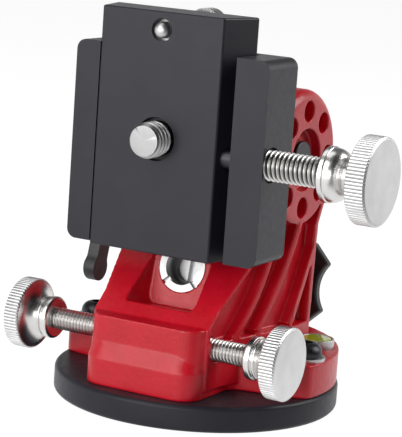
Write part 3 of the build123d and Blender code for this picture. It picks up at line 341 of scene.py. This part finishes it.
def arc(start, end, radius, steps=12):
    """Points of a circular arc between two outline points; the radius's sign picks the side."""
    a, b = complex(*start), complex(*end)
    rise = math.sqrt(radius**2 - (abs(b - a) / 2) ** 2)
    hub = (a + b) / 2 + 1j * (b - a) / abs(b - a) * math.copysign(rise, radius)
    turn = cmath.phase((b - hub) / (a - hub))
    points = [hub + (a - hub) * cmath.exp(1j * turn * k / steps) for k in range(steps + 1)]
    return [(p.real, p.imag) for p in points]


def lathe(name, outline, place, count=96, shape=None, sharp=35):
    """Turns an outline of (radius, along) round the place's z axis.

    shape(angle, radius, along) may change the radius from point to point. The mesh
    keeps the distance along the outline and the depth of its grooves for materials.
    """
    outline = rounded(outline)
    angles = np.arange(count) * 2 * math.pi / count
    points, rows, travel, grooves = [], [], [], []
    run = 0.0
    for i, (radius, along) in enumerate(outline):
        if i:
            run += math.dist(outline[i - 1], outline[i])
        if radius < 1e-6:
            rows.append([len(points)])
            points.append((0, 0, along))
            travel.append(run)
            grooves.append(0)
            continue
        reach = np.full(count, radius) if shape is None else shape(angles, radius, along)
        grooves += list(radius - reach)
        rows.append(list(range(len(points), len(points) + count)))
        points += list(zip(reach * np.cos(angles), reach * np.sin(angles), np.full(count, along)))
        travel += [run] * count
    faces = []
    for low, high in zip(rows, rows[1:]):
        for k in range(count):
            n = (k + 1) % count
            if len(low) == 1 and len(high) > 1:
                faces.append((low[0], high[n], high[k]))
            elif len(high) == 1 and len(low) > 1:
                faces.append((low[k], low[n], high[0]))
            elif len(low) > 1:
                faces.append((low[k], low[n], high[n], high[k]))
    mesh = bpy.data.meshes.new(name)
    mesh.from_pydata([tuple(place @ Vector(p) * MM) for p in points], [], faces)
    for label, values in (("along", travel), ("groove", grooves)):
        attribute = mesh.attributes.new(label, "FLOAT", "POINT")
        attribute.data.foreach_set("value", np.array(values, np.float32))
    mesh.update()
    tidy_normals(mesh)
    smooth(mesh, sharp)
    return add_object(name, mesh)


def tidy_normals(mesh):
    """Turns all faces of a mesh outwards."""
    work = bmesh.new()
    work.from_mesh(mesh)
    bmesh.ops.recalc_face_normals(work, faces=work.faces)
    work.to_mesh(mesh)
    work.free()


def thread_shape(pitch, depth, start, end):
    """Shape of a helical thread between two places along the axis, for lathe().

    The crest and the flanks are shares of the pitch, and the thread fades out at both ends.
    """
    half_crest = 0.08
    flank_width = 0.34

    def shape(angle, radius, along):
        phase = (along / pitch - angle / (2 * math.pi)) % 1.0
        flank = np.clip((np.abs(phase - 0.5) - half_crest) / flank_width, 0, 1)
        fade = min(1, max(0, (along - start) / pitch), 1) * min(1, max(0, (end - along) / pitch))
        return radius - depth * (1 - fade * (1 - flank))

    return shape


def threaded_rod(name, radius, depth, pitch, start, end, place, count=48):
    """A rod with a helical thread that fades in over its first turn."""
    rows_per_turn = 10
    steps = int((end - start) / pitch * rows_per_turn)
    outline = [(0, start)]
    outline += [(radius, start + (end - start) * k / steps) for k in range(steps + 1)]
    outline += [(0, end)]
    return lathe(name, outline, place, count, thread_shape(pitch, depth, start, end), sharp=60)


def knurl_shape(count, depth, radius_from):
    """Shape of a straight knurl with broad ridges and narrow grooves, for lathe()."""
    breadth = 0.5

    def shape(angle, radius, along):
        if radius < radius_from:
            return np.full(len(angle), radius)
        wave = np.abs(np.sin(angle * count / 2)) ** breadth
        return radius - depth * (1 - wave)

    return shape


def knurled_head(name, radius, start, thickness, place, count=66, depth=0.34):
    """A flat disc head with a knurled rim and plain, slightly rounded faces."""
    land = radius - depth - 0.05
    face = land - 0.3
    edge = 0.4
    dish = 0.15
    end = start + thickness
    outline = [
        (0, start),
        (face, start),
        (land, start + 0.1, 0.1),
        (radius, start + edge),
        (radius, end - edge),
        (land, end - dish),
        (face, end, 0.2),
        (0, end),
    ]
    points_per_ridge = 8
    shape = knurl_shape(count, depth, radius - 0.01)
    return lathe(name, outline, place, count * points_per_ridge, shape, sharp=28)


def apply_modifiers(piece):
    """Applies the piece's modifiers to its mesh."""
    graph = bpy.context.evaluated_depsgraph_get()
    mesh = bpy.data.meshes.new_from_object(piece.evaluated_get(graph))
    piece.modifiers.clear()
    piece.data = mesh


def machined(node, paint, bevel, sharp=30):
    """A copy of a CAD node with clean faces and small bevelled edges."""
    source = frame["nodes"][node]
    work = bmesh.new()
    work.from_mesh(source.data)
    bmesh.ops.remove_doubles(work, verts=work.verts, dist=0.002 * MM)
    bmesh.ops.dissolve_limit(
        work, angle_limit=math.radians(0.5), verts=work.verts, edges=work.edges
    )
    mesh = bpy.data.meshes.new(node + "_piece")
    work.to_mesh(mesh)
    work.free()
    piece = add_object(node + "_piece", mesh)
    smooth(mesh, sharp)
    if bevel:
        modifier = piece.modifiers.new("edges", "BEVEL")
        modifier.width = bevel * MM
        modifier.segments = 3
        modifier.limit_method = "ANGLE"
        modifier.angle_limit = math.radians(sharp)
        modifier.use_clamp_overlap = True
        modifier.harden_normals = True
    flatten = piece.modifiers.new("flatten", "WEIGHTED_NORMAL")
    flatten.keep_sharp = True
    apply_modifiers(piece)
    settle(piece, source["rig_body"], paint, [node])


# ------------------------------------------------------------------ red casting
def red_casting():
    """The casting with softly rounded edges: a fine remesh of the CAD solid, relaxed."""
    source = frame["nodes"]["wedge_casting"]
    piece = add_object("casting_skin", source.data.copy())
    remesh = piece.modifiers.new("remesh", "REMESH")
    remesh.mode = "VOXEL"
    remesh.voxel_size = 0.30 * MM
    relax = piece.modifiers.new("relax", "SMOOTH")
    relax.factor = 0.5
    relax.iterations = 4
    thin = piece.modifiers.new("thin", "DECIMATE")
    thin.ratio = 0.3
    apply_modifiers(piece)
    piece.data.shade_smooth()
    settle(piece, "casting", RED, ["wedge_casting"])


red_casting()


# ------------------------------------------------------------------ base disc
def base_plate():
    """The black disc: a bevelled rim, and an underside that stands on its outer ring."""
    radius = span("base_disc")[1].x
    thickness = 7.0
    bevel = 0.7
    ring_width = 22
    ring_height = 0.6
    outline = [
        (0, ring_height),
        (radius - ring_width, ring_height),
        (radius - ring_width - 0.4, 0, 0.2),
        (radius - bevel, 0, 0.3),
        (radius, bevel, 0.5),
        (radius, thickness - bevel, 0.5),
        (radius - bevel, thickness, 0.5),
        (0, thickness),
    ]
    base = lathe("base_plate", outline, upright((0, 0, 0), Z), 192)
    settle(base, "base", DISC_BLACK, ["base_disc"])


base_plate()


# ------------------------------------------------------------------ azimuth screws
NECK_ROOM = 0.1
THREAD_ROOM = 0.2


def knob_screw(node, thread, neck, knob):
    """Settles the three pieces of a knob screw on its body, in place of its CAD node."""
    body = frame["nodes"][node]["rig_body"]
    settle(thread, body, THREAD, [node])
    settle(neck, body, STEEL)
    settle(knob, body, SATIN)


def azimuth_screw(side, node):
    """A polished M6 knob screw: thread, ringed collar, bell-shaped neck, knurled head."""
    thread_radius, thread_depth, pitch = 3.0, 0.6, 1.0
    head_thickness = 4.7
    neck_length = 6.7
    collar_radius = 5.8
    groove_radius = 5.0
    ring_radius = 5.45
    bell_start, bell_radius, bell_curve = 3.5, 9.1, 5.0

    low, high = span(node)
    middle = (low + high) / 2
    radius = (high.z - low.z) / 2
    place = upright((0, middle.y, middle.z), (side, 0, 0))
    inner, outer = (low.x, high.x) if side > 0 else (-high.x, -low.x)
    head = outer - head_thickness
    collar = head - neck_length
    outline = [
        (0, collar),
        (collar_radius - 0.6, collar, 0.3),
        (collar_radius, collar + 0.5, 0.3),
        (collar_radius, collar + 2.0, 0.2),
        (groove_radius, collar + 2.2, 0.15),
        (groove_radius, collar + 2.55, 0.15),
        (ring_radius, collar + 2.75, 0.15),
        (ring_radius, collar + 3.2, 0.15),
        *arc((groove_radius, collar + bell_start), (bell_radius, head), -bell_curve),
        (bell_radius, head + NECK_ROOM),
        (0, head + NECK_ROOM),
    ]
    knob_screw(
        node,
        threaded_rod(
            node + "_thread", thread_radius, thread_depth, pitch, inner, collar + THREAD_ROOM, place
        ),
        lathe(node + "_neck", outline, place, 128),
        knurled_head(node + "_head", radius, head, head_thickness, place),
    )


azimuth_screw(1, "azimuth_screw_right")
azimuth_screw(-1, "azimuth_screw_left")


# ------------------------------------------------------------------ clamp screw
def clamp_screw():
    """The larger M8 knob screw of the saddle: thread, collar, domed neck, knurled head."""
    thread_radius, thread_depth, pitch = 4.0, 0.8, 1.25
    head_thickness = 5.5
    neck_length = 9.6
    collar_radius = 7.2
    dome_radius, dome_start, dome_curve = 6.9, 1.8, 4.0
    waist_radius, waist_at = 4.3, 5.8
    flare_radius, flare_curve = 8.2, 4.1

    node = "clamp_screw"
    low, high = span(node)
    middle = (low + high) / 2
    place = upright((0, middle.y, middle.z), X)
    radius = (high.z - low.z) / 2
    head = high.x - head_thickness
    collar = head - neck_length
    waist = (waist_radius, collar + waist_at)
    outline = [
        (0, collar),
        (collar_radius - 0.3, collar, 0.2),
        (collar_radius, collar + 0.3, 0.2),
        (collar_radius, collar + 1.5, 0.2),
        (dome_radius, collar + 1.7, 0.1),
        *arc((dome_radius, collar + dome_start), waist, dome_curve, 14),
        *arc(waist, (flare_radius, head), -flare_curve, 10)[1:],
        (flare_radius - 0.2, head + NECK_ROOM),
        (0, head + NECK_ROOM),
    ]
    knob_screw(
        node,
        threaded_rod(
            node + "_thread", thread_radius, thread_depth, pitch, low.x, collar + THREAD_ROOM, place, 64
        ),
        lathe(node + "_neck", outline, place, 128),
        knurled_head(node + "_head", radius, head, head_thickness, place, 76, 0.36),
    )


clamp_screw()


# ------------------------------------------------------------------ camera stud
def camera_stud():
    """The 3/8 inch stud of the plate: a chamfered, threaded end over a shank and flat head."""
    thread_radius, thread_depth, pitch = 4.74, 0.8, 1.5875
    thread_length = 7.3
    shank_radius = 4.5
    head_radius, head_height, head_edge = 8.5, 3.0, 0.5
    face_radius = 4.1
    steps = 72
    chamfer_steps = 6

    low, high = span("camera_stud")
    middle = (low + high) / 2
    place = upright((middle.x, 0, middle.z), -Y)
    tip, back = -low.y, -high.y
    start = tip - thread_length
    outline = [
        (0, back),
        (head_radius - head_edge, back),
        (head_radius, back + head_edge, 0.3),
        (head_radius, back + head_height, 0.3),
        (shank_radius, back + head_height),
        (shank_radius, start),
        (thread_radius, start + 0.1),
    ]
    outline += [(thread_radius, start + thread_length * k / steps) for k in range(2, steps - chamfer_steps)]
    outline += [(face_radius + 0.2, tip - 0.15, 0.2), (face_radius, tip, 0.2), (0, tip)]
    cut = thread_shape(pitch, thread_depth, start, tip + 0.4)

    def shape(angle, radius, along):
        if along > start:
            return np.minimum(radius, cut(angle, thread_radius, along))
        return np.full(len(angle), radius)

    stud = lathe("camera_stud_thread", outline, place, 96, shape, sharp=50)
    settle(stud, frame["nodes"]["camera_stud"]["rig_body"], STUD, ["camera_stud"])


camera_stud()

# ------------------------------------------------------------------ machined and moulded parts
machined("dovetail_plate", BLACK, bevel=0.3)
machined("saddle", BLACK, bevel=0.3)
machined("head_tongue", BLACK, bevel=0.4)
machined("worm_gland_nut", BLACK, bevel=0.3)
machined("clutch_lever", PLASTIC, bevel=1.0)
machined("altitude_knob", PLASTIC, bevel=0.2)
machined("worm_wheel", BRONZE, bevel=0.1)
machined("worm_ring_nut", PLAIN, bevel=0.15)
machined("index_knob", STEEL, bevel=0.0)
machined("level_cup", PLAIN, bevel=0.1)
machined("level_vial", LIQUID, bevel=0.1)

# ------------------------------------------------------------------ paints of the CAD nodes
SLOT_PAINTS = {
    "black_anodised": BLACK,
    "steel": PLAIN,
    "black_steel": DARK_STEEL,
    "bright_metal": PLAIN,
    "bright_steel": PLAIN,
    "level_liquid": LIQUID,
    "bronze": BRONZE,
    "black_plastic": PLASTIC,
    "red_paint": RED,
}
# Painted shade: the index spring and the clamp pad are painted dark steel, so that the knob's bore and the
# clamp's gap look as dark as their shade.
SHADE_DARK_NODE_PAINTS = {"index_spring": DARK_STEEL, "clamp_pad": DARK_STEEL}

for entry in frame["record"]["subparts"]:
    paints = frame["nodes"][entry["node"]].data.materials
    paints.clear()
    paints.append(SHADE_DARK_NODE_PAINTS.get(entry["node"], SLOT_PAINTS[entry["material_slot"]]))

# ------------------------------------------------------------------ stage
GREY_SIDE = math.radians(80)  # from -Y towards +X, where the studio is unlit
GREY_EDGES = (math.radians(60), math.radians(42))  # from its middle to its outer and inner edge
GREY_LEVEL = 0.12


def grey_side(tree, direction):
    """One towards the studio's unlit right side, falling to zero elsewhere."""
    flat = vector_maths(tree, "MULTIPLY", direction, (1, 1, 0))
    towards = vector_maths(tree, "NORMALIZE", flat.outputs[0])
    middle = (math.sin(GREY_SIDE), -math.cos(GREY_SIDE), 0)
    facing = vector_maths(tree, "DOT_PRODUCT", towards.outputs[0], middle)
    edges = [math.cos(angle) for angle in GREY_EDGES]
    return remapped(tree, facing.outputs["Value"], edges, curve="SMOOTHSTEP")


def floor_glow(tree):
    """Strength of the floor's glow: white, with a painted shade to the right beyond a hand's width."""
    white = 0.92
    near, far = 0.08, 0.20
    place = tree.nodes.new("ShaderNodeTexCoord").outputs["Object"]
    distance = vector_maths(tree, "LENGTH", place)
    reach = remapped(tree, distance.outputs["Value"], (near, far), curve="SMOOTHSTEP")
    # Painted shade: the floor's glow dims to grey towards the studio's unlit right side, away from the
    # part.
    painted_shade = combined(tree, "MULTIPLY", grey_side(tree, place), reach)
    return remapped(tree, painted_shade, end=(white, GREY_LEVEL))


def floor_white():
    """Matt floor that takes the shadow, and that eye, metal and glass see glowing white, with a painted
    shade on the studio's unlit right side that metal and paint reflect.
    """
    paint = bpy.data.materials.new("floor_white")
    paint.use_nodes = True
    tree = paint.node_tree
    tree.nodes.clear()
    output = tree.nodes.new("ShaderNodeOutputMaterial")
    diffuse = tree.nodes.new("ShaderNodeBsdfDiffuse")
    diffuse.inputs["Color"].default_value = (0.18, 0.18, 0.18, 1)
    rays = tree.nodes.new("ShaderNodeLightPath").outputs
    seen = combined(tree, "MAXIMUM", rays["Is Camera Ray"], rays["Is Glossy Ray"])
    seen = combined(tree, "MAXIMUM", seen, rays["Is Transmission Ray"])
    glow = tree.nodes.new("ShaderNodeEmission")
    tree.links.new(combined(tree, "MULTIPLY", seen, floor_glow(tree)), glow.inputs["Strength"])
    both = tree.nodes.new("ShaderNodeAddShader")
    tree.links.new(diffuse.outputs[0], both.inputs[0])
    tree.links.new(glow.outputs[0], both.inputs[1])
    tree.links.new(both.outputs[0], output.inputs["Surface"])
    return paint


def lay_floor():
    """A large plain floor under the part."""
    half = 12.0
    corners = [(-half, -half, 0), (half, -half, 0), (half, half, 0), (-half, half, 0)]
    mesh = bpy.data.meshes.new("floor")
    mesh.from_pydata(corners, [], [(0, 1, 2, 3)])
    mesh.materials.append(floor_white())
    add_object("floor", mesh)


lay_floor()


# ------------------------------------------------------------------ light
def studio_world():
    """A room that is white at the horizon, grey overhead and dark on its right side."""
    horizon, overhead = 1.0, 0.14
    horizon_height, overhead_height = 0.08, 0.42
    world = bpy.data.worlds.new("studio")
    bpy.context.scene.world = world
    world.use_nodes = True
    tree = world.node_tree
    sky = tree.nodes["Background"].inputs
    direction = tree.nodes.new("ShaderNodeTexCoord").outputs["Generated"]
    split = tree.nodes.new("ShaderNodeSeparateXYZ")
    tree.links.new(direction, split.inputs[0])
    gradient = ramp(tree, split.outputs["Z"], horizon, overhead, horizon_height, overhead_height)
    tree.links.new(gradient, sky["Color"])
    bright = remapped(tree, grey_side(tree, direction), end=(1.0, GREY_LEVEL))
    tree.links.new(bright, sky["Strength"])


def soft_light(name, place, size, power):
    """A rectangular softbox at a place in metres, aimed at the middle of the part."""
    aim = Vector((0, 0, 0.05))
    data = bpy.data.lights.new(name, "AREA")
    data.shape = "RECTANGLE"
    data.size, data.size_y = size
    data.energy = power
    lamp = bpy.data.objects.new(name, data)
    bpy.context.scene.collection.objects.link(lamp)
    lamp.location = place
    lamp.rotation_euler = (aim - Vector(place)).to_track_quat("-Z", "Y").to_euler()


studio_world()
soft_light("front", (-0.1, -1.0, 0.25), (1.3, 0.46), 6.0)
soft_light("key", (-0.30, -0.75, 0.75), (0.6, 0.6), 3.6)
soft_light("rim", (0.56, 0.43, 0.50), (0.5, 0.5), 4.0)
soft_light("top", (-0.25, 0.1, 0.9), (0.5, 0.5), 1.0)


# ------------------------------------------------------------------ camera
def set_camera():
    """The camera at the angle of the photograph, looking down and slightly rolled."""
    place = (0.25770, -0.47557, 0.14788)
    turn = math.radians(28.63)  # from -Y towards +X
    rise = math.radians(10.35)
    roll = math.radians(3.99)
    back = Vector((math.sin(turn) * math.cos(rise), -math.cos(turn) * math.cos(rise), math.sin(rise)))
    level_right = Vector((math.cos(turn), math.sin(turn), 0))
    level_up = back.cross(level_right)
    right = level_right * math.cos(roll) + level_up * math.sin(roll)
    up = level_up * math.cos(roll) - level_right * math.sin(roll)
    data = bpy.data.cameras.new("camera")
    data.sensor_width = 36
    data.lens = 166.2
    camera = bpy.data.objects.new("camera", data)
    bpy.context.scene.collection.objects.link(camera)
    camera.matrix_world = Matrix.Translation(place) @ Matrix((right, up, back)).transposed().to_4x4()
    bpy.context.scene.camera = camera


set_camera()
bpy.context.scene.view_settings.view_transform = "Standard"
